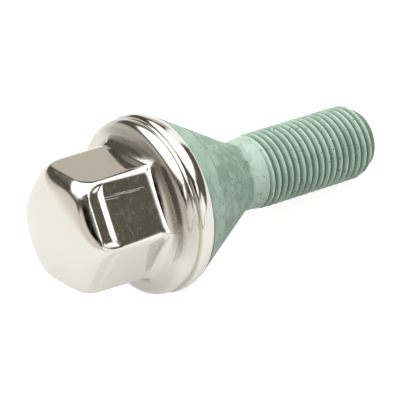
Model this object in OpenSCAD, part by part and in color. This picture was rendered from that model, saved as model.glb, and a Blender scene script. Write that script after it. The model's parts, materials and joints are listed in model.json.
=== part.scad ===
// Capped wheel bolt: a forged and thread-rolled steel bolt with a 60 degree taper seat,
// and a pressed stainless cap that covers its hexagon head and is rolled over its flange.
// Each piece is drawn upright on its own axis, with z = 0 at the large end of the seat,
// the thread upwards and the head downwards, and is then laid down as it comes to rest.

/* [Thread and shank] */
// Nominal diameter of the thread
thread_d = 12; // [10:0.5:14]
// Pitch of the thread
thread_pitch = 1.25; // [1:0.25:1.75]
// Length from the small end of the seat to the tip
shank_length = 25.7; // [20:0.5:40]
// Length of the plain shank between the seat and the thread run-out
plain_length = 1.6; // [0.5:0.1:4]
// Length over which the rolled thread rises to its full diameter
runout_length = 3.6; // [1:0.1:5]
// Length of the chamfer on the tip
point_length = 2.1; // [1:0.1:3]
// Diameter of the flat end face of the tip
point_d = 9.6; // [6:0.1:9.8]
// Radius of the fillet between the seat and the shank
neck_fillet = 0.8; // [0.2:0.1:2]

/* [Taper seat] */
// Included angle of the taper seat
seat_angle = 60; // [50:1:75]
// Diameter of the large end of the seat
seat_d = 27; // [22:0.5:30]

/* [Hexagon head] */
// Distance across the flats at the foot of the cap's hexagon
across_flats = 18.7; // [14:0.1:19]
// Draft of each flat, in degrees
flat_draft = 1.4; // [0:0.1:3]
// Length of the head from the flange face to the middle of the crown
head_length = 15.65; // [12:0.5:22]
// Rounding along the six corners of the hexagon
corner_radius = 0.55; // [0.2:0.05:1.5]
// Radius of the domed crown
crown_radius = 19; // [15:0.5:30]
// Radius of the turned edge that cuts the six corners back
crown_edge = 5.7; // [3:0.1:6]
// Radius between the crown and each flat
flat_edge = 3; // [1:0.1:4]
// Distance from the axis to the cut-back corners
corner_reach = 10.6; // [10:0.05:10.8]
// Height of the fillet at the foot of the hexagon
foot_height = 1.35; // [0.5:0.05:2]
// Width of the fillet at the foot of the hexagon
foot_width = 0.6; // [0.2:0.05:1]

/* [Flange] */
// Diameter of the flange over the cap's rolled bead
flange_d = 28.1; // [27.6:0.1:34]
// Thickness from the face of the flange to the edge of the cap
flange_length = 5.5; // [4.6:0.1:7]
// Backward slope of the flange face, in degrees
face_slope = 6; // [0:1:12]
// Radius of the flange's rounded shoulder
shoulder_radius = 2.15; // [1:0.05:2.5]
// Distance from the groove back to the crown of the bead, along the axis
groove_to_bead = 0.75; // [0.5:0.05:1.2]
// Depth of the groove below the bead
groove_depth = 0.7; // [0.3:0.05:0.9]
// Distance from the middle of the shoulder's rounding back to the groove
groove_lead = 0.45; // [0.3:0.05:0.6]
// How far the shoulder stays inside the bead
shoulder_inset = 0.3; // [0.1:0.05:0.5]
// Radius of the front of the bead
bead_front = 0.9; // [0.7:0.05:1.2]
// Radius of the back of the bead, where the cap's edge is rolled in
bead_back = 4; // [3:0.1:6]
// Distance from the crown of the bead back to the cap's edge
bead_tail = 2.1; // [1:0.1:2.6]

/* [Cap] */
// Thickness of the cap's stainless sheet
cap_wall = 0.5; // [0.3:0.05:0.7]
// Gap between the pressed cap and the forged bolt
cap_gap = 0.05; // [0.02:0.01:0.15]

/* [Hidden] */

// Thread, shank and seat. A rolled thread is raised from a shank of about its pitch diameter.
thread_r = thread_d / 2;
shank_r = thread_r - 0.325 * thread_pitch;
point_r = point_d / 2;
seat_r = seat_d / 2;
seat_half = seat_angle / 2;
seat_length = (seat_r - shank_r) / tan(seat_half);
tip_z = seat_length + shank_length;
point_z = tip_z - point_length;
plain_z = seat_length + plain_length;
runout_z = plain_z + runout_length;
fillet_run = neck_fillet * tan(seat_half / 2);
fillet_r = shank_r + neck_fillet;
fillet_z = seat_length + fillet_run;

// Flange, measured from the large end of the seat, where the cap's edge sits
flange_r = flange_d / 2;
face_z = -flange_length;
bead_z = -bead_tail;
bead_front_r = flange_r - bead_front;
bead_back_r = flange_r - bead_back;
groove_r = flange_r - groove_depth;
groove_z = bead_z - groove_to_bead;
groove_turn = asin(groove_to_bead / bead_front);
shoulder_z = groove_z - groove_lead;
shoulder_r = flange_r - shoulder_inset - shoulder_radius;
shoulder_turn = 8;

// Hexagon head
flat_r = across_flats / 2;
crown_z = face_z - head_length;
foot_z = face_z - foot_height;
skin = cap_wall + cap_gap;
inner_depth = 1.2;
slice_h = 0.01;
skin_steps = 14;
core_steps = 9;
crown_depth = 7.2;

// Sides round the cap's flange: within 0.06 mm of round, and coarse enough for the bolt to lie still on
cap_sides = 36;

// Resting place: the bead and the corner of the chamfered tip lie on the ground
lever_z = point_z - bead_z;
lever_r = bead_back_r - thread_r;
lean = atan(lever_r / lever_z) + asin(bead_back / norm([lever_z, lever_r]));
hex_roll = -14.5;
drop = bead_back_r * cos(lean) + bead_back + bead_z * sin(lean);
front_x = tip_z * cos(lean) + point_r * sin(lean);
back_x = (crown_z + crown_radius) * cos(lean) - crown_radius;
mid_x = (front_x + back_x) / 2;

// Points on an arc about [r, z], from one angle to another
function arc(centre, radius, from, to, steps) =
    [for (i = [0 : steps]) let (a = from + (to - from) * i / steps)
        centre + radius * [cos(a), sin(a)]];

// Outline of the shoulder at a depth below its outer skin, from the face back to the groove
function shoulder_skin(depth) = concat(
    arc([shoulder_r, shoulder_z], shoulder_radius - depth, face_slope - 90, shoulder_turn, 12),
    [[groove_r - depth, groove_z]]);

// Outline of the bead at a depth below its outer skin, from the groove back to end_z
function bead_skin(depth, end_z) = concat(
    arc([bead_front_r, bead_z], bead_front - depth, -groove_turn, 0, 6),
    arc([bead_back_r, bead_z], bead_back - depth, 0, asin((end_z - bead_z) / (bead_back - depth)), 8));

// Outline of the whole flange
function flange_skin(depth, end_z) = concat(shoulder_skin(depth), bead_skin(depth, end_z));

// Radius of that outline at end_z
function tail_reach(depth, end_z) =
    bead_back_r + sqrt(pow(bead_back - depth, 2) - pow(end_z - bead_z, 2));

// Height of the flange face, at a depth below its skin, where it meets the axis
function face_height(depth) =
    shoulder_z - (shoulder_radius - depth) / cos(face_slope) - shoulder_r * tan(face_slope);

// Reach of a domed form at a distance from its crown, for a side that lies at side_r
function domed_reach(rise, dome, side_r, edge) =
    let (turn = asin((side_r - edge) / (dome - edge)),
         join = dome * (1 - cos(turn)),
         full = dome - (dome - edge) * cos(turn))
    rise < join ? sqrt(max(dome * dome - pow(dome - rise, 2), 0)) :
    rise < full ? side_r - edge + sqrt(edge * edge - pow(full - rise, 2)) :
    side_r;

// Distance from the axis to a flat, at a height on the drafted hexagon
function flat_at(z) = flat_r - (face_z - z) * tan(flat_draft);

module laid_down() {
    translate([-mid_x, 0, drop])
        rotate([0, 90 + lean, 0])
            rotate([0, 0, hex_roll])
                children();
}

// Hexagon with rounded corners, reach from the axis to each flat
module hexagon(reach, rounding) {
    centre = (reach - rounding) / cos(30);
    polygon([for (i = [0 : 5], j = [-2 : 2]) let (a = 60 * i + 30)
        centre * [cos(a), sin(a)] + rounding * [cos(a + 15 * j), sin(a + 15 * j)]]);
}

// The hexagon head at a depth below the cap's skin: slices narrow to the crown
module head(depth, steps) {
    dome = crown_radius - depth;
    crown = crown_z + depth;
    hull() {
        for (i = [0 : steps]) {
            rise = crown_depth * pow(i / steps, 2) + 0.02;
            z = crown + rise;
            side = domed_reach(rise, dome, flat_at(z) - depth, flat_edge - depth);
            corner = domed_reach(rise, dome, corner_reach - depth, crown_edge - depth);
            translate([0, 0, z])
                linear_extrude(slice_h)
                    intersection() {
                        hexagon(side, corner_radius);
                        circle(corner, $fn = 72);
                    }
        }
        translate([0, 0, face_z + inner_depth])
            linear_extrude(slice_h)
                hexagon(flat_at(face_z) - depth, corner_radius);
    }
}

// The cap's flange: a rounded shoulder and the rolled bead, which meet in the groove
module flange() {
    hull()
        rotate_extrude($fn = cap_sides)
            polygon(concat(
                [[0, face_height(0)]],
                shoulder_skin(0),
                [[0, groove_z]]));
    hull()
        rotate_extrude($fn = cap_sides)
            polygon(concat(
                [[0, shoulder_z]],
                bead_skin(0, -cap_gap),
                [[0, -cap_gap]]));
}

// Fillet that follows the foot of the hexagon down to the flange face
module foot() {
    steps = 3;
    for (i = [0 : steps - 1])
        hull()
            for (k = [i, i + 1]) {
                turn = 90 * k / steps;
                z = foot_z + foot_height * sin(turn);
                grow = foot_width * (1 - cos(turn));
                translate([0, 0, z])
                    linear_extrude(slice_h)
                        hexagon(flat_at(z) + grow, corner_radius);
            }
}

module bolt() {
    color("#86a893")
    laid_down() {
        rotate_extrude($fn = 144)
            polygon(concat(
                [[0, face_height(skin)]],
                flange_skin(skin, 0),
                [[seat_r, 0]],
                arc([fillet_r, fillet_z], neck_fillet, 180 + seat_half, 180, 6),
                [[shank_r, plain_z],
                 [thread_r, runout_z],
                 [thread_r, point_z],
                 [point_r, tip_z],
                 [0, tip_z]]));
        head(skin, core_steps);
    }
}

module cap() {
    color("#c9c4bb")
    laid_down() {
        difference() {
            union() {
                head(0, skin_steps);
                foot();
                flange();
            }
            head(cap_wall, core_steps);
            rotate_extrude($fn = 144)
                polygon(concat(
                    [[0, face_height(cap_wall)]],
                    flange_skin(cap_wall, -cap_gap),
                    [[tail_reach(cap_wall, -cap_gap), cap_wall],
                     [0, cap_wall]]));
        }
    }
}

bolt();
cap();
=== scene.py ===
import json
import math

import bmesh
import bpy
from mathutils import Matrix, Vector


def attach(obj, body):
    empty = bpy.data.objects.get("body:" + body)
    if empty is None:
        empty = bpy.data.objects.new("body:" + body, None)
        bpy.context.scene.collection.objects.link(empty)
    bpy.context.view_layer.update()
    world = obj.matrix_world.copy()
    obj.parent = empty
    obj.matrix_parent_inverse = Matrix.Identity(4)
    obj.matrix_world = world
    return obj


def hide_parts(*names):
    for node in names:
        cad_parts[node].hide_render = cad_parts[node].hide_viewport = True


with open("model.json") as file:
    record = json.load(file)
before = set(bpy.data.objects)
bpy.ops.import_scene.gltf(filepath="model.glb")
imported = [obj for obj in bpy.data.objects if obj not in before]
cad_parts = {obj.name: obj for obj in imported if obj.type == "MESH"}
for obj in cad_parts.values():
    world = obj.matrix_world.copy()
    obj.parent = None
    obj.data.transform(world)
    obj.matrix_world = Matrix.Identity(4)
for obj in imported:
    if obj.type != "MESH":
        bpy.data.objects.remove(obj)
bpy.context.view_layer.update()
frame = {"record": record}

# Every length is in millimetres, and angles in the dictionaries are in degrees. A piece is turned upright
# on the bolt's axis, with z = 0 at the large end of the seat and the thread upwards, and then laid down.
mm = 0.001
pole = 0.0005  # radius of the ring of points that closes a pole, until they are merged
mergeWithin = 0.002
thinnest = 0.0005  # an edge shorter than this is dissolved


def say(stage):
    print("stage:", stage)


def linear(code):
    channels = [int(code[k:k + 2], 16) / 255 for k in (1, 3, 5)]
    return [c / 12.92 if c <= 0.04045 else ((c + 0.055) / 1.055) ** 2.4 for c in channels] + [1.0]


def layDown():
    mounts = {m["name"]: m for m in frame["record"]["mounts"]}
    start = Vector(mounts["taper_seat"]["pos_m"])
    axis = Vector(mounts["taper_seat"]["axis"]).normalized()
    down = Vector((0, 1, 0)).cross(axis).normalized()
    turn = Matrix((down, Vector((0, 1, 0)), axis)).transposed().to_4x4()
    return Matrix.Translation(start) @ turn


laidDown = layDown()


# The lathe: a grid of rows, each a function from an angle to a radius and a height

def smooth(value, low, high):
    share = min(max((value - low) / (high - low), 0), 1)
    return share * share * (3 - 2 * share)


def arc(r, z, radius, start, end, steps):
    angles = [math.radians(start + (end - start) * k / steps) for k in range(steps + 1)]
    return [(r + radius * math.cos(a), z + radius * math.sin(a)) for a in angles]


def ring(r, z):
    return lambda angle: (r, z)


def lathePoints(rows, angles):
    points = []
    for row in rows:
        for angle in angles:
            r, z = row(angle)
            points.append((r * math.cos(angle) * mm, r * math.sin(angle) * mm, z * mm))
    return points


def latheFaces(rowCount, columns):
    faces = []
    for i in range(rowCount - 1):
        for j in range(columns):
            k = (j + 1) % columns
            faces.append((i * columns + j, i * columns + k, (i + 1) * columns + k, (i + 1) * columns + j))
    return faces


def makeMesh(name, points, faces):
    mesh = bpy.data.meshes.new(name)
    mesh.from_pydata(points, [], faces)
    work = bmesh.new()
    work.from_mesh(mesh)
    bmesh.ops.remove_doubles(work, verts=work.verts, dist=mergeWithin * mm)
    bmesh.ops.dissolve_degenerate(work, edges=work.edges, dist=thinnest * mm)
    bmesh.ops.recalc_face_normals(work, faces=work.faces)
    work.to_mesh(mesh)
    work.free()
    mesh.polygons.foreach_set("use_smooth", [True] * len(mesh.polygons))
    return mesh


def addPiece(name, mesh, material):
    piece = bpy.data.objects.new(name, mesh)
    bpy.context.scene.collection.objects.link(piece)
    mesh.materials.clear()
    mesh.materials.append(material)
    return piece


# The flange, at a depth below the cap's outer skin

flange = {
    "radius": 14.05,
    "length": 5.5,
    "faceSlope": 6.0,
    "shoulderRadius": 1.35,
    "shoulderInset": 0.3,
    "shoulderLead": 1.17,  # from the middle of the shoulder's rounding back to the groove
    "shoulderEnd": 12.0,  # angle at which that rounding meets the groove
    "grooveToBead": 0.75,
    "grooveDepth": 0.7,
    "beadFront": 0.9,
    "beadBack": 4.0,
    "beadTail": 2.1,
    "shoulderSteps": 14,
    "beadSteps": 8,
}

faceZ = -flange["length"]
beadZ = -flange["beadTail"]
beadBackR = flange["radius"] - flange["beadBack"]
beadFrontR = flange["radius"] - flange["beadFront"]
grooveR = flange["radius"] - flange["grooveDepth"]
grooveZ = beadZ - flange["grooveToBead"]
grooveTurn = math.degrees(math.asin(flange["grooveToBead"] / flange["beadFront"]))
shoulderR = flange["radius"] - flange["shoulderInset"] - flange["shoulderRadius"]
shoulderZ = grooveZ - flange["shoulderLead"]


def flangeSkin(depth, endZ, detail=1):
    shoulder, front, back = [flange[name] - depth for name in ("shoulderRadius", "beadFront", "beadBack")]
    steps = flange["beadSteps"] * detail
    tail = math.degrees(math.asin((endZ - beadZ) / back))
    return (arc(shoulderR, shoulderZ, shoulder, flange["faceSlope"] - 90, flange["shoulderEnd"],
                flange["shoulderSteps"] * detail)
            + [(grooveR - depth, grooveZ)]
            + arc(beadFrontR, beadZ, front, -grooveTurn, 0, steps)
            + arc(beadBackR, beadZ, back, 0, tail, steps)[1:])


def faceHeight(depth, r):
    slope = math.radians(flange["faceSlope"])
    centre = shoulderZ - (flange["shoulderRadius"] - depth) / math.cos(slope) - shoulderR * math.tan(slope)
    return centre + r * math.tan(slope)


# The hexagon head, at a depth below the cap's outer skin. A rise is a height behind its crown.

hexagon = {
    "acrossFlats": 18.7,
    "draft": 1.4,
    "length": 15.65,
    "roll": -14.5,  # as the bolt came to rest
    "cornerRadius": 0.45,
    "cornerReach": 10.68,
    "crownRadius": 19.0,
    "crownEdge": 5.1,  # radius of the turned edge that cuts the corners back
    "edgeBlend": 0.5,  # softness between that edge and the flats
    "blendRise": 2.0,  # rise at which that softness is full
    "flatEdge": 4.0,  # radius of the edge between the crown and a flat
    "crease": 0.5,  # radius of the crease where the crown's edge meets a flat
    "creaseAngle": 65.0,  # angle that the crown has turned through at the crease
    "creaseRise": 3.45,
    "creaseBlend": 0.8,
    "sharpest": 0.02,  # least radius of the crease on an inner skin
    "dips": (0.17, 0.17, 0.17, 0.0, 0.17, 0.17),  # how far each flat sinks in behind the crease
    "dipEnd": (1.4, 2.5),  # over which distance behind the crease a dip levels out
    "dipRise": (1.6, 3.3),  # over which rise it comes in
    "dipSide": (22.0, 29.0),  # over which angle from a flat's middle it levels out
    "footHeight": 1.35,
    "footWidth": 0.42,
    "footRounding": 1.6,  # how much faster than the foot its corners' rounding grows
    "footSink": 0.45,
    "sinkShare": 0.45,  # share of the flange face over which that sink levels out
}
# where the rows change their spacing, and how they crowd towards the crown
rowBands = (2.9, 3.8, 7.2)
crownCrowding = 1.6

crownZ = faceZ - hexagon["length"]
flatR = hexagon["acrossFlats"] / 2
perFlat = math.pi / 3
hexTurn = Matrix.Rotation(math.radians(hexagon["roll"]), 4, "Z")


def domedReach(rise, dome, side, edge):
    turn = math.asin((side - edge) / (dome - edge))
    full = dome - (dome - edge) * math.cos(turn)
    if rise < dome * (1 - math.cos(turn)):
        return math.sqrt(max(dome ** 2 - (dome - rise) ** 2, 0))
    if rise < full:
        return side - edge + math.sqrt(edge ** 2 - (full - rise) ** 2)
    return side


def creasedReach(rise, dome, side, edge, crease):
    turned = math.radians(hexagon["creaseAngle"])
    middle = side - crease - (edge - crease) * math.sin(turned)
    turn = math.asin(middle / (dome - edge))
    edgeZ = dome - (dome - edge) * math.cos(turn)
    creaseZ = edgeZ - (edge - crease) * math.cos(turned)
    if rise < dome * (1 - math.cos(turn)):
        return math.sqrt(max(dome ** 2 - (dome - rise) ** 2, 0))
    if rise < creaseZ - crease * math.cos(turned):
        return middle + math.sqrt(edge ** 2 - (edgeZ - rise) ** 2)
    if rise < creaseZ:
        return side - crease + math.sqrt(crease ** 2 - (creaseZ - rise) ** 2)
    return side


def flatAt(z):
    return flatR - (faceZ - z) * math.tan(math.radians(hexagon["draft"]))


def offMiddle(angle):
    return (angle + perFlat / 2) % perFlat - perFlat / 2  # from the middle of the nearest flat


def hexReach(angle, side, rounding=hexagon["cornerRadius"]):
    off = abs(offMiddle(angle))
    rounding = min(rounding, side * 0.9)
    corner = (side - rounding) / math.cos(perFlat / 2)
    if off <= math.atan2(corner * math.sin(perFlat / 2), side):
        return side / math.cos(off)
    away = perFlat / 2 - off
    return corner * math.cos(away) + math.sqrt(max(rounding ** 2 - (corner * math.sin(away)) ** 2, 0))


def softLeast(a, b, blend):
    near = max(blend - abs(a - b), 0) / blend
    return min(a, b) - near * near * blend / 4


def flatStart(reach):
    # the rise at which a flat begins, for a column that lies at this reach
    edge = hexagon["crownEdge"]
    centre = hexagon["cornerReach"] - edge
    full = hexagon["crownRadius"] - math.sqrt((hexagon["crownRadius"] - edge) ** 2 - centre ** 2)
    cut = full - math.sqrt(max(edge ** 2 - max(reach - centre, 0) ** 2, 0))
    return -softLeast(-cut, -hexagon["creaseRise"], hexagon["creaseBlend"])


def headRow(rise, depth):
    dome = hexagon["crownRadius"] - depth
    z = crownZ + depth + rise
    if rise == 0:
        return ring(pole, z)
    # the press left its dips in the outer skin only
    dips = [0 if depth else dip for dip in hexagon["dips"]]
    crease = max(hexagon["crease"] - depth, hexagon["sharpest"])
    sides = [creasedReach(rise, dome, flatAt(z) - depth - dip, hexagon["flatEdge"] - depth, crease)
             for dip in dips]
    corner = domedReach(rise, dome, hexagon["cornerReach"] - depth, hexagon["crownEdge"] - depth)
    blend = hexagon["edgeBlend"] * min(1, rise / hexagon["blendRise"]) + 1e-6

    def point(angle):
        k = round(angle / perFlat) % 6
        behind = rise - flatStart(hexReach(angle, sides[k]))
        aside = math.degrees(abs(offMiddle(angle)))
        level = max(smooth(behind, *hexagon["dipEnd"]), 1 - smooth(rise, *hexagon["dipRise"]),
                    smooth(aside, *hexagon["dipSide"]))
        return softLeast(hexReach(angle, sides[k] + dips[k] * level), corner, blend), z

    return point


def headRows(depth, counts):
    last = hexagon["length"] - hexagon["footHeight"] - depth
    rises = [rowBands[0] * (k / counts[0]) ** crownCrowding for k in range(counts[0])]
    for start, end, count in zip(rowBands, rowBands[1:] + (last,), counts[1:]):
        rises += [start + (end - start) * k / count for k in range(count)]
    return [headRow(rise, depth) for rise in rises + [last]]


def footRow(share):
    # flares evenly, and meets the flange face in a sharp inner corner that the press sank a little
    top = faceZ - hexagon["footHeight"]
    grow = hexagon["footWidth"] * share
    foot = faceHeight(0, flatR + hexagon["footWidth"]) + hexagon["footSink"]
    z = top + (foot - top) * share
    rounding = hexagon["cornerRadius"] + hexagon["footRounding"] * grow
    return lambda angle: (hexReach(angle, flatAt(z) + grow, rounding), z)


def faceRow(share):
    start = footRow(1)
    end = shoulderR + flange["shoulderRadius"] * math.sin(math.radians(flange["faceSlope"]))
    level = smooth(share, 0, hexagon["sinkShare"])

    def point(angle):
        first, z = start(angle)
        r = first + (end - first) * share
        return r, z + (faceHeight(0, r) - z) * level

    return point


def coreFoot(depth):
    def point(angle):
        r = hexReach(angle, flatR - depth)
        return r, faceHeight(depth, r)

    return point


# The cap: one pressed sheet with an outer and an inner skin

cap = {
    "wall": 0.5,
    "gap": 0.05,
    "columnsPerFlat": 48,
    "cornerCrowding": 0.4,  # draws the columns together at the corners
    "headRows": (26, 20, 30, 10),
    "insideRows": (10, 2, 6, 3),  # these serve the forging too
    "footRows": 10,
    "faceRows": 12,
    "flangeDetail": 2,
}


def flatColumns(count, crowding):
    angles = []
    for sector in range(6):
        for k in range(count):
            w = 2 * k / count - 1
            angles.append(perFlat * sector + perFlat / 2 * ((1 + crowding) * w - crowding * w ** 3))
    return angles


def makeCap(material):
    rows = headRows(0, cap["headRows"])
    rows += [footRow(k / cap["footRows"]) for k in range(1, cap["footRows"] + 1)]
    rows += [faceRow(k / cap["faceRows"]) for k in range(1, cap["faceRows"])]
    rows += [ring(r, z) for r, z in flangeSkin(0, -cap["gap"], cap["flangeDetail"])]
    rows += [ring(r, z) for r, z in reversed(flangeSkin(cap["wall"], -cap["gap"]))]
    rows += reversed(headRows(cap["wall"], cap["insideRows"]))
    angles = flatColumns(cap["columnsPerFlat"], cap["cornerCrowding"])
    mesh = makeMesh("capSheet", lathePoints(rows, angles), latheFaces(len(rows), len(angles)))
    mesh.transform(laidDown @ hexTurn)
    return addPiece("capSheet", mesh, material)


# The bolt: a turned blank whose rows in the threaded stretch climb with the helix

seat = {"angle": 60.0, "diameter": 27.0, "rows": 24}

thread = {
    "diameter": 12.0,
    "pitch": 1.25,
    "crest": 0.16,  # width of the crest
    "depth": 0.76,
    "soften": 0.1,
    "startBack": 1.9,  # turns before the end of the run-out where the first groove starts
    "firstTurn": 0.9,  # turns over which it reaches its depth
    "shankLength": 25.7,
    "plainLength": 1.6,
    "runoutLength": 3.6,
    "pointLength": 2.1,
    "pointDiameter": 9.6,
    "neckFillet": 0.8,
    "filletSteps": 8,
    "rowsPerTurn": 14,
    "columns": 168,
    "tipRings": 6,
}

threadR = thread["diameter"] / 2
pointR = thread["pointDiameter"] / 2
shankR = threadR - 0.325 * thread["pitch"]  # a rolled thread rises from about its pitch diameter
seatR = seat["diameter"] / 2
seatHalf = seat["angle"] / 2
seatLength = (seatR - shankR) / math.tan(math.radians(seatHalf))
plainZ = seatLength + thread["plainLength"]
runoutZ = plainZ + thread["runoutLength"]
tipZ = seatLength + thread["shankLength"]
pointZ = tipZ - thread["pointLength"]


def blankRadius(z):
    if z < runoutZ:
        return shankR + (threadR - shankR) * smooth(z, plainZ, runoutZ)
    if z < pointZ:
        return threadR
    return threadR + (pointR - threadR) * (z - pointZ) / thread["pointLength"]


def climbingGrid(startZ, endZ, columns, perTurn):
    step = thread["pitch"] / perTurn
    rowCount = int((endZ - startZ) / step) + 2 * perTurn + 1
    points = []
    for i in range(rowCount):
        for j in range(columns):
            z = startZ + (i - perTurn) * step + thread["pitch"] * j / columns
            z = min(max(z, startZ), endZ)
            angle = 2 * math.pi * j / columns
            r = blankRadius(z)
            points.append((r * math.cos(angle) * mm, r * math.sin(angle) * mm, z * mm))
    faces = []
    for i in range(rowCount - 1):
        for j in range(columns - 1):
            a = i * columns + j
            faces.append((a, a + 1, a + columns + 1, a + columns))
        if i + perTurn + 1 < rowCount:
            a = i * columns + columns - 1
            b = (i + perTurn) * columns
            faces.append((a, b, b + columns, a + columns))
    return points, faces


def makeBlank():
    skin = cap["wall"] + cap["gap"]
    columns = thread["columns"]
    fillet = thread["neckFillet"]
    filletZ = seatLength + fillet * math.tan(math.radians(seatHalf / 2))
    turned = flangeSkin(skin, 0)
    # the seat's last two rows are left out, because the fillet takes their place
    for k in range(seat["rows"] - 1):
        share = k / seat["rows"]
        turned.append((seatR + (shankR - seatR) * share, seatLength * share))
    turned += arc(shankR + fillet, filletZ, fillet, 180 + seatHalf, 180, thread["filletSteps"])
    turned.append((shankR, plainZ))
    body = headRows(skin, cap["insideRows"]) + [coreFoot(skin)] + [ring(r, z) for r, z in turned]
    rings = thread["tipRings"]
    tip = [ring(max(pointR * k / rings, pole), tipZ) for k in range(rings, -1, -1)]
    angles = [2 * math.pi * j / columns for j in range(columns)]
    parts = [
        (lathePoints(body, angles), latheFaces(len(body), columns)),
        climbingGrid(plainZ, tipZ, columns, thread["rowsPerTurn"]),
        (lathePoints(tip, angles), latheFaces(len(tip), columns)),
    ]
    points, faces = [], []
    for partPoints, partFaces in parts:
        faces += [tuple(v + len(points) for v in face) for face in partFaces]
        points += partPoints
    return makeMesh("boltBlank", points, faces)


def addNode(tree, kind, inputs=(), output=0, **settings):
    # inputs go by number or by name, and each is a socket to link, a hex colour or a plain value
    node = tree.nodes.new(kind)
    for name, value in settings.items():
        setattr(node, name, value)
    for name, value in inputs.items() if isinstance(inputs, dict) else enumerate(inputs):
        if isinstance(value, bpy.types.NodeSocket):
            tree.links.new(value, node.inputs[name])
        else:
            node.inputs[name].default_value = linear(value) if isinstance(value, str) else value
    return node.outputs[output]


eased = {"interpolation_type": "SMOOTHSTEP"}  # setting for a Map Range node


def threadTree():
    tree = bpy.data.node_groups.new("rollThread", "GeometryNodeTree")
    sockets = tree.interface
    sockets.new_socket("Geometry", in_out="INPUT", socket_type="NodeSocketGeometry")
    for name in ("Major radius", "Pitch", "Crest", "Depth", "Soften", "Start", "Full depth"):
        sockets.new_socket(name, in_out="INPUT", socket_type="NodeSocketFloat")
    sockets.new_socket("Material", in_out="INPUT", socket_type="NodeSocketMaterial")
    sockets.new_socket("Geometry", in_out="OUTPUT", socket_type="NodeSocketGeometry")
    given = tree.nodes.new("NodeGroupInput").outputs
    place = addNode(tree, "GeometryNodeInputPosition")
    x, y, z = addNode(tree, "ShaderNodeSeparateXYZ", [place]).node.outputs
    flat = addNode(tree, "ShaderNodeCombineXYZ", [x, y])
    radius = addNode(tree, "ShaderNodeVectorMath", [flat], 1, operation="LENGTH")
    # how many turns up the helix a point lies, and how far it is from the middle of a crest
    angle = addNode(tree, "ShaderNodeMath", [y, x], operation="ARCTAN2")
    around = addNode(tree, "ShaderNodeMath", [angle, 2 * math.pi], operation="DIVIDE")
    pitches = addNode(tree, "ShaderNodeMath", [z, given["Pitch"]], operation="DIVIDE")
    turns = addNode(tree, "ShaderNodeMath", [pitches, around], operation="SUBTRACT")
    share = addNode(tree, "ShaderNodeMath", [turns], operation="FRACT")
    share = addNode(tree, "ShaderNodeMath", [share, 0.5], operation="SUBTRACT")
    share = addNode(tree, "ShaderNodeMath", [share], operation="ABSOLUTE")
    fromCrest = addNode(tree, "ShaderNodeMath", [share, given["Pitch"]], operation="MULTIPLY")
    halfCrest = addNode(tree, "ShaderNodeMath", [given["Crest"], 0.5], operation="MULTIPLY")
    along = addNode(tree, "ShaderNodeMath", [fromCrest, halfCrest], operation="SUBTRACT")
    # 60 degree flanks, rounded into the crest and the root
    flank = addNode(tree, "ShaderNodeMath", [along, math.sqrt(3)], operation="MULTIPLY")
    flank = addNode(tree, "ShaderNodeMath", [flank, 0.0, given["Soften"]], operation="SMOOTH_MAX")
    drop = addNode(tree, "ShaderNodeMath", [flank, given["Depth"], given["Soften"]], operation="SMOOTH_MIN")
    fade = addNode(tree, "ShaderNodeMapRange", [z, given["Start"], given["Full depth"]], **eased)
    drop = addNode(tree, "ShaderNodeMath", [drop, fade], operation="MULTIPLY")
    formed = addNode(tree, "ShaderNodeMath", [given["Major radius"], drop], operation="SUBTRACT")
    # a point is moved inwards only, and only past the start
    ratio = addNode(tree, "ShaderNodeMath", [formed, radius], operation="DIVIDE")
    ratio = addNode(tree, "ShaderNodeMath", [ratio, 1.0], operation="MINIMUM")
    before = addNode(tree, "ShaderNodeMath", [z, given["Start"]], operation="LESS_THAN")
    scale = addNode(tree, "ShaderNodeMath", [ratio, before], operation="MAXIMUM")
    sideways = addNode(tree, "ShaderNodeCombineXYZ", [scale, scale, 1.0])
    moved = addNode(tree, "ShaderNodeVectorMath", [place, sideways], operation="MULTIPLY")
    rolled = addNode(tree, "GeometryNodeSetPosition", {"Geometry": given["Geometry"], "Position": moved})
    real = addNode(tree, "GeometryNodeRealizeInstances", [rolled])
    dressed = addNode(tree, "GeometryNodeSetMaterial", {"Geometry": real, "Material": given["Material"]})
    tree.links.new(dressed, tree.nodes.new("NodeGroupOutput").inputs[0])
    return tree


def setInput(modifier, name, value):
    for item in modifier.node_group.interface.items_tree:
        if item.in_out == "INPUT" and item.name == name:
            modifier[item.identifier] = value


def makeBolt(material):
    blank = addPiece("boltBlank", makeBlank(), material)
    modifier = blank.modifiers.new("rollThread", "NODES")
    modifier.node_group = threadTree()
    start = runoutZ - thread["startBack"] * thread["pitch"]
    sizes = {
        "Major radius": threadR, "Pitch": thread["pitch"], "Crest": thread["crest"],
        "Depth": thread["depth"], "Soften": thread["soften"], "Start": start,
        "Full depth": start + thread["firstTurn"] * thread["pitch"],
    }
    for name, size in sizes.items():
        setInput(modifier, name, size * mm)
    setInput(modifier, "Material", material)
    rolled = blank.evaluated_get(bpy.context.evaluated_depsgraph_get())
    mesh = bpy.data.meshes.new_from_object(rolled)
    bpy.data.objects.remove(blank)
    mesh.transform(laidDown @ hexTurn)
    return addPiece("boltSteel", mesh, material)


# Materials

def newMaterial(name):
    material = bpy.data.materials.new(name)
    material.use_nodes = True
    return material, material.node_tree, material.node_tree.nodes["Principled BSDF"]


def onAxis(tree):
    # the place on the bolt, upright on its axis and in millimetres, and its radius and height there
    place = tree.nodes.new("ShaderNodeTexCoord").outputs["Object"]
    lie = {"Vector": place, "Location": laidDown.translation, "Rotation": laidDown.to_euler()}
    upright = addNode(tree, "ShaderNodeMapping", lie, vector_type="TEXTURE")
    place = addNode(tree, "ShaderNodeVectorMath", {0: upright, "Scale": 1 / mm}, operation="SCALE")
    x, y, z = addNode(tree, "ShaderNodeSeparateXYZ", [place]).node.outputs
    flat = addNode(tree, "ShaderNodeCombineXYZ", [x, y])
    return place, addNode(tree, "ShaderNodeVectorMath", [flat], 1, operation="LENGTH"), z


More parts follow.
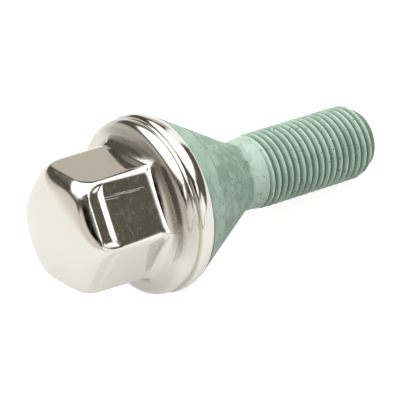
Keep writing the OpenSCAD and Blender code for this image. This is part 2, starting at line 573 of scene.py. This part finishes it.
def grainOf(tree, place, pattern):
    # noise whose grains are pattern["size"] wide, turned to a share from its "from" and "to" levels
    size = {"Vector": place, "Scale": 1 / pattern["size"], "Detail": pattern.get("detail", 2.0),
            "Roughness": pattern.get("roughness", 0.5)}
    noise = addNode(tree, "ShaderNodeTexNoise", size)
    if "levels" not in pattern:
        return noise
    return addNode(tree, "ShaderNodeMapRange", [noise, *pattern["levels"]], **eased)


def lineAt(tree, value, middle, inner, outer, share=1.0):
    # a line where the value is near its middle: full strength up to inner, gone by outer
    off = addNode(tree, "ShaderNodeMath", [value, middle], operation="SUBTRACT")
    off = addNode(tree, "ShaderNodeMath", [off], operation="ABSOLUTE")
    return addNode(tree, "ShaderNodeMapRange", [off, inner, outer, share, 0.0], **eased)


polish = {
    "steel": "#e2dfd8",
    # the rubbed face's colour, painted dark as shade as well as dulled
    "dulledAndShaded": "#8a847a",
    # painted shade in the groove
    "grooveShade": "#c4beb4",
    "smear": {"size": 9.0, "detail": 4.0, "levels": (0.35, 0.7, 0.05, 0.11)},
    "ripple": {"size": 5.0, "detail": 1.0},
    "rippleHeight": 0.02,
    "specks": {"size": 0.12, "roughness": 0.6, "levels": (0.5, 0.8, 0.0, 0.22)},
    # each set of hairlines: how it is turned and how far apart its lines are
    "hairlines": (((10, 20, 35), 0.45), ((60, -15, -50), 0.6), ((-35, 70, 80), 0.5)),
    "hairlineShare": 0.3,
    "wobble": {"size": 1.6},
    "wobbleWidth": 0.25,
    "frontFlat": (-0.704, -0.71, 0),  # from the axis towards the flat that looks up and forwards
    "frontFlatFrom": (8.6, 8.8),  # distance along that at which the scratches come in
    "frontFlatTo": (10.4, 10.6, 1.0, 0.0),  # radius at which they stop
    "acrossFront": (-0.71, 0.704, 0.06),  # across the long scratches on it
    # each scratch: where it lies across the flat, its ends and its width
    "scratches": ((1.93, -16.6, -8.4, 0.05), (2.14, -14.0, -7.6, 0.035), (1.55, -16.8, -12.5, 0.03)),
    "scratchEnd": 0.8,  # length over which a scratch runs out
    "scratchShare": 0.65,
    "scratchDepth": 0.006,
    "rubbedAndShadedSide": (-0.94, -0.342, 0),  # from the axis towards the side of the flange face that is rubbed most and painted darkest as shade
    "rubbedAndShadedTowards": (2.2, 8.2, 0.12, 1.0),  # distance along that over which the rubbing and the painted shade grow
    "rubbed": {"size": 0.28, "detail": 3.0, "roughness": 0.7, "levels": (0.3, 0.7, 0.72, 1.0)},
    "rubbedAndShadedRadii": ((10.0, 10.6), (12.4, 13.6, 1.0, 0.4)),  # the face, from corners to shoulder
    "rubbedAndShadedHeights": ((-6.2, -5.7), (-3.0, -3.5)),
    "scratchedRougher": 0.3,  # how much rougher than the polish a scratch is
    "rubbedRougher": 0.24,
    "grooveShadeHeight": (0.1, 0.4),  # above and below the groove
    "grooveShadeRadius": (12.8, 13.0),
}


def polishedStainless():
    # Pressed 0.5 mm stainless sheet, buffed bright: a neutral mirror with faint ripples left by the
    # press, fine scratches from handling, a flange face that sockets have rubbed dull, its colour painted
    # darker towards one side as shade, and painted shade in the groove.
    material, tree, shader = newMaterial("polishedStainless")
    place, radius, z = onAxis(tree)
    scratched = grainOf(tree, place, polish["specks"])
    for turn, gap in polish["hairlines"]:
        drawnOut = {"Vector": place, "Rotation": [math.radians(a) for a in turn], "Scale": (1.0, 0.02, 1.0)}
        lines = grainOf(tree, addNode(tree, "ShaderNodeMapping", drawnOut), {"size": gap, "detail": 0.0})
        lines = lineAt(tree, lines, 0.3, 0.0, 0.01, polish["hairlineShare"])
        scratched = addNode(tree, "ShaderNodeMath", [scratched, lines], operation="MAXIMUM")

    across = addNode(tree, "ShaderNodeVectorMath", [place, polish["acrossFront"]], 1, operation="DOT_PRODUCT")
    wobble = [grainOf(tree, place, polish["wobble"]), polish["wobbleWidth"], across]
    across = addNode(tree, "ShaderNodeMath", wobble, operation="MULTIPLY_ADD")
    forwards = addNode(tree, "ShaderNodeVectorMath", [place, polish["frontFlat"]], 1, operation="DOT_PRODUCT")
    onFront = [
        addNode(tree, "ShaderNodeMapRange", [forwards, *polish["frontFlatFrom"]], **eased),
        addNode(tree, "ShaderNodeMapRange", [radius, *polish["frontFlatTo"]], **eased),
    ]
    for offset, start, end, width in polish["scratches"]:
        line = lineAt(tree, across, offset, 0.3 * width, width, polish["scratchShare"])
        ends = [
            addNode(tree, "ShaderNodeMapRange", [z, start, start + polish["scratchEnd"]], **eased),
            addNode(tree, "ShaderNodeMapRange", [z, end - polish["scratchEnd"], end, 1.0, 0.0], **eased),
        ]
        for share in onFront + ends:
            line = addNode(tree, "ShaderNodeMath", [line, share], operation="MULTIPLY")
        scratched = addNode(tree, "ShaderNodeMath", [scratched, line], operation="MAXIMUM")

    # the flange face from the hexagon's corners to the shoulder, and not the hexagon itself: rubbed dull and
    # rougher, with its colour painted darker as shade, most towards one side
    rubbed = addNode(tree, "ShaderNodeVectorMath", [place, polish["rubbedAndShadedSide"]], 1, operation="DOT_PRODUCT")
    dulledAndShaded = grainOf(tree, place, polish["rubbed"])
    limits = [(radius, levels) for levels in polish["rubbedAndShadedRadii"]]
    limits += [(z, levels) for levels in polish["rubbedAndShadedHeights"]]
    for value, levels in limits + [(rubbed, polish["rubbedAndShadedTowards"])]:
        share = addNode(tree, "ShaderNodeMapRange", [value, *levels], **eased)
        dulledAndShaded = addNode(tree, "ShaderNodeMath", [dulledAndShaded, share], operation="MULTIPLY")
    # painted shade: the groove's inner corner is given a darker colour
    outside = addNode(tree, "ShaderNodeMapRange", [radius, *polish["grooveShadeRadius"]], **eased)
    inGroove = lineAt(tree, z, grooveZ, *polish["grooveShadeHeight"])
    inGroove = addNode(tree, "ShaderNodeMath", [inGroove, outside], operation="MULTIPLY")
    color = {0: dulledAndShaded, 6: polish["steel"], 7: polish["dulledAndShaded"]}
    color = {0: inGroove, 6: addNode(tree, "ShaderNodeMix", color, 2, data_type="RGBA"), 7: polish["grooveShade"]}
    tree.links.new(addNode(tree, "ShaderNodeMix", color, 2, data_type="RGBA"), shader.inputs["Base Color"])

    shader.inputs["Metallic"].default_value = 1.0
    rough = grainOf(tree, place, polish["smear"])
    for worn, rougher in ((scratched, polish["scratchedRougher"]), (dulledAndShaded, polish["rubbedRougher"])):
        rough = addNode(tree, "ShaderNodeMath", [worn, rougher, rough], operation="MULTIPLY_ADD")
    tree.links.new(rough, shader.inputs["Roughness"])
    ripple = {"Height": grainOf(tree, place, polish["ripple"]), "Distance": polish["rippleHeight"] * mm,
              "Strength": 0.6}
    relief = {"Height": scratched, "Distance": -polish["scratchDepth"] * mm, "Strength": 0.8,
              "Normal": addNode(tree, "ShaderNodeBump", ripple)}
    tree.links.new(addNode(tree, "ShaderNodeBump", relief), shader.inputs["Normal"])
    return material


coat = {
    "pale": "#8faa97",  # on the large end of the seat
    "grey": "#78927f",  # beyond the tide line
    "mottle": {"size": 2.2, "detail": 4.0, "roughness": 0.6, "levels": (0.42, 0.66, 0.0, 0.6),
               "color": "#a7bbab"},
    "tide": "#5b7565",
    "tideZ": 4.6,
    "tideLine": (0.05, 0.22, 0.55),  # inner and outer half width of the line, and its strength
    "greyFrom": (4.4, 4.9),  # height over which the seat turns greyer
    "wander": {"size": 2.5, "detail": 3.0},
    "wanderWidth": 1.2,
    "shank": "#bccdbf",
    "shankFrom": (14.2, 15.0, 0.0, 0.7),
    "threadFrom": (16.0, 17.2),
    # by radius, the thread's roots are painted darker as shade and its crests paler as a highlight
    "crestRadius": (5.2, 5.95),
    "root": "#55705f",
    "crest": "#b5cebd",
    "spots": (
        {"size": 3.5, "detail": 4.0, "roughness": 0.65, "levels": (0.5, 0.62, 0.0, 0.3), "color": "#5f7d6c"},
        {"size": 0.5, "detail": 3.0, "levels": (0.64, 0.68, 0.0, 0.8), "color": "#41574a"},  # pin holes
        {"size": 0.8, "detail": 4.0, "roughness": 0.7, "levels": (0.665, 0.69, 0.0, 0.9),
         "color": "#c3cfc4"},  # chips
    ),
    "roughness": 0.46,
    "rubbedSmoother": 0.2,  # how much less rough the crests are
    "lumps": {"size": 1.8},
    "lumpHeight": 0.12,
    "grain": {"size": 0.35, "detail": 4.0, "roughness": 0.6},
    "grainHeight": 0.04,
}


def seaGreenCoat():
    # A thin dipped coating on forged and rolled steel: satin sea green, greyer beyond a tide line on
    # the seat, with pin holes and chips, crests rubbed smoother and painted paler as a highlight, and painted
    # shade in the thread's roots.
    material, tree, shader = newMaterial("seaGreenCoating")
    place, radius, z = onAxis(tree)
    wander = grainOf(tree, place, coat["wander"])
    wander = addNode(tree, "ShaderNodeMath", [wander, coat["wanderWidth"], z], operation="MULTIPLY_ADD")
    beyond = addNode(tree, "ShaderNodeMapRange", [wander, *coat["greyFrom"]], **eased)
    onShank = addNode(tree, "ShaderNodeMapRange", [wander, *coat["shankFrom"]], **eased)
    threaded = addNode(tree, "ShaderNodeMapRange", [z, *coat["threadFrom"]], **eased)
    crest = addNode(tree, "ShaderNodeMapRange", [radius, *coat["crestRadius"]], **eased)
    # painted shade in the roots and painted highlight on the crests
    rolled = {0: crest, 6: coat["root"], 7: coat["crest"]}
    layers = [
        (beyond, coat["grey"]),
        (grainOf(tree, place, coat["mottle"]), coat["mottle"]["color"]),
        (lineAt(tree, wander, coat["tideZ"], *coat["tideLine"]), coat["tide"]),
        (onShank, coat["shank"]),
        (threaded, addNode(tree, "ShaderNodeMix", rolled, 2, data_type="RGBA")),
    ]
    layers += [(grainOf(tree, place, spots), spots["color"]) for spots in coat["spots"]]
    color = coat["pale"]
    for share, over in layers:
        color = addNode(tree, "ShaderNodeMix", {0: share, 6: color, 7: over}, 2, data_type="RGBA")
    tree.links.new(color, shader.inputs["Base Color"])
    shader.inputs["Metallic"].default_value = 0.0
    rubbed = addNode(tree, "ShaderNodeMath", [threaded, crest], operation="MULTIPLY")
    rough = [rubbed, -coat["rubbedSmoother"], coat["roughness"]]
    rough = addNode(tree, "ShaderNodeMath", rough, operation="MULTIPLY_ADD")
    tree.links.new(rough, shader.inputs["Roughness"])
    lumps = {"Height": grainOf(tree, place, coat["lumps"]), "Distance": coat["lumpHeight"] * mm,
             "Strength": 0.5}
    grain = {"Height": grainOf(tree, place, coat["grain"]), "Distance": coat["grainHeight"] * mm,
             "Strength": 0.5, "Normal": addNode(tree, "ShaderNodeBump", lumps)}
    tree.links.new(addNode(tree, "ShaderNodeBump", grain), shader.inputs["Normal"])
    return material


studio = {
    "paper": "#b2b2b0",
    "paperSize": 2000.0,  # half its width
    "paperLift": 0.85,  # light added to the paper as the camera sees it
    "paperGlow": 0.46,  # and as the polished metal sees it
    "room": "#5f5a51",  # the unlit room, as the metal mirrors it
    # Light panels, each over the ones before it: azimuth from +Y towards +X and elevation of the
    # middle, half width, half height, soft edge, colour and strength
    "panels": {
        "overhead": (30, 75, 56, 42, 5, "#ffffff", 2.3),
        "window": (61, 12, 9, 28, 3, "#ffffff", 1.2),
        "lowCard": (-70, -5, 62, 28, 4, "#fff7ee", 0.8),
        "leftCard": (-119, 6, 26, 30, 5, "#fff7ee", 0.8),
        "glow": (-80, -12, 100, 16, 9, "#fffaf4", 1.15),
        "gap": (-26, 29, 27, 6, 3, "#5f5a51", 0.75),
        "backCard": (38, 0, 16, 14, 3, "#fff6ea", 0.62),
        "lens": (-140, 41, 18, 7, 3, "#0c0b0a", 1.0),
        "key": (166, 43, 18, 6, 3, "#ffffff", 2.0),
        "frontCard": (-178, 16, 30, 15, 4, "#ffffff", 1.1),
        "sideCard": (143, 11, 13, 10, 3, "#ffffff", 1.3),
    },
}


def whitePaper():
    # Matt paper sweep. What the camera and the polished metal see of it is lifted to white, so that it
    # keeps the bolt's shadow but throws only a soft light on the underside.
    material, tree, shader = newMaterial("whitePaper")
    shader.inputs["Base Color"].default_value = linear(studio["paper"])
    shader.inputs["Roughness"].default_value = 0.9
    shader.inputs["Specular IOR Level"].default_value = 0.1
    shader.inputs["Emission Color"].default_value = linear("#ffffff")
    path = tree.nodes.new("ShaderNodeLightPath").outputs
    lift = addNode(tree, "ShaderNodeMath", [path["Is Camera Ray"], studio["paperLift"]], operation="MULTIPLY")
    glow = [path["Is Glossy Ray"], studio["paperGlow"], lift]
    glow = addNode(tree, "ShaderNodeMath", glow, operation="MULTIPLY_ADD")
    tree.links.new(glow, shader.inputs["Emission Strength"])
    return material


def makeFloor():
    size = studio["paperSize"] * mm
    corners = [(-size, -size, 0), (size, -size, 0), (size, size, 0), (-size, size, 0)]
    mesh = bpy.data.meshes.new("floor")
    mesh.from_pydata(corners, [], [(0, 1, 2, 3)])
    addPiece("floor", mesh, whitePaper())


def panelShare(tree, direction, panel):
    azimuth, elevation, width, height, edge = [math.radians(a) for a in panel[:5]]
    facing = Matrix.Rotation(-azimuth, 3, "Z") @ Matrix.Rotation(elevation, 3, "X")
    aimed = {"Vector": direction, "Rotation": facing.to_euler()}
    local = addNode(tree, "ShaderNodeMapping", aimed, vector_type="TEXTURE")
    x, y, z = addNode(tree, "ShaderNodeSeparateXYZ", [local]).node.outputs
    # a rectangle with rounded corners: the reach is 1 at its edge and smaller inside
    reach = 0.0
    for way, half in ((x, width), (z, height)):
        off = addNode(tree, "ShaderNodeMath", [way, y], operation="ARCTAN2")
        off = addNode(tree, "ShaderNodeMath", [off], operation="ABSOLUTE")
        off = addNode(tree, "ShaderNodeMath", [off, half], operation="DIVIDE")
        off = addNode(tree, "ShaderNodeMath", [off, 4.0], operation="POWER")
        reach = addNode(tree, "ShaderNodeMath", [off, reach], operation="ADD")
    reach = addNode(tree, "ShaderNodeMath", [reach, 0.25], operation="POWER")
    soft = edge / min(width, height)
    return addNode(tree, "ShaderNodeMapRange", [reach, 1 - soft, 1 + soft, 1.0, 0.0], **eased)


def makeWorld():
    world = bpy.data.worlds.new("studio")
    bpy.context.scene.world = world
    world.use_nodes = True
    tree = world.node_tree
    direction = tree.nodes.new("ShaderNodeTexCoord").outputs["Generated"]
    color = studio["room"]
    for panel in studio["panels"].values():
        lit = [c * panel[6] for c in linear(panel[5])[:3]] + [1.0]
        layer = {0: panelShare(tree, direction, panel), 6: color, 7: lit}
        color = addNode(tree, "ShaderNodeMix", layer, 2, data_type="RGBA")
    # the camera sees white behind the bolt, and the metal mirrors the panels
    seen = tree.nodes.new("ShaderNodeLightPath").outputs["Is Camera Ray"]
    shown = addNode(tree, "ShaderNodeMix", {0: seen, 6: color, 7: "#ffffff"}, 2, data_type="RGBA")
    tree.links.new(shown, tree.nodes["Background"].inputs["Color"])


camera = {
    "azimuth": -36.4,  # round the bolt from straight ahead
    "elevation": 43.1,
    "lens": 250.0,
    "sensor": 36.0,
    "farthest": 10000.0,
    "axisPoint": (-7.756, 0.542, 423.41),  # the axis at the crown of the bead: right, down, away
}


def makeCamera():
    azimuth, elevation = math.radians(camera["azimuth"]), math.radians(camera["elevation"])
    back = Vector((math.sin(azimuth) * math.cos(elevation), -math.cos(azimuth) * math.cos(elevation),
                   math.sin(elevation)))
    right = Vector((math.cos(azimuth), math.sin(azimuth), 0))
    turn = Matrix((right, back.cross(right), back)).transposed()
    x, y, z = camera["axisPoint"]
    data = bpy.data.cameras.new("camera")
    data.sensor_width = camera["sensor"]
    data.lens = camera["lens"]
    data.clip_end = camera["farthest"] * mm
    view = bpy.data.objects.new("camera", data)
    bpy.context.scene.collection.objects.link(view)
    place = laidDown @ Vector((0, 0, beadZ * mm)) - turn @ (Vector((x, -y, -z)) * mm)
    view.matrix_world = Matrix.Translation(place) @ turn.to_4x4()
    bpy.context.scene.camera = view


bpy.context.scene.view_settings.view_transform = "Standard"
makeCamera()
say("camera")
makeWorld()
makeFloor()
say("stage")
capSheet = makeCap(polishedStainless())
say("cap")
boltSteel = makeBolt(seaGreenCoat())
say("bolt")
for piece, node, slot in ((capSheet, "cap", "polished_stainless"), (boltSteel, "bolt", "coated_steel")):
    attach(piece, "root")
    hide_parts(node)
say("fitted")
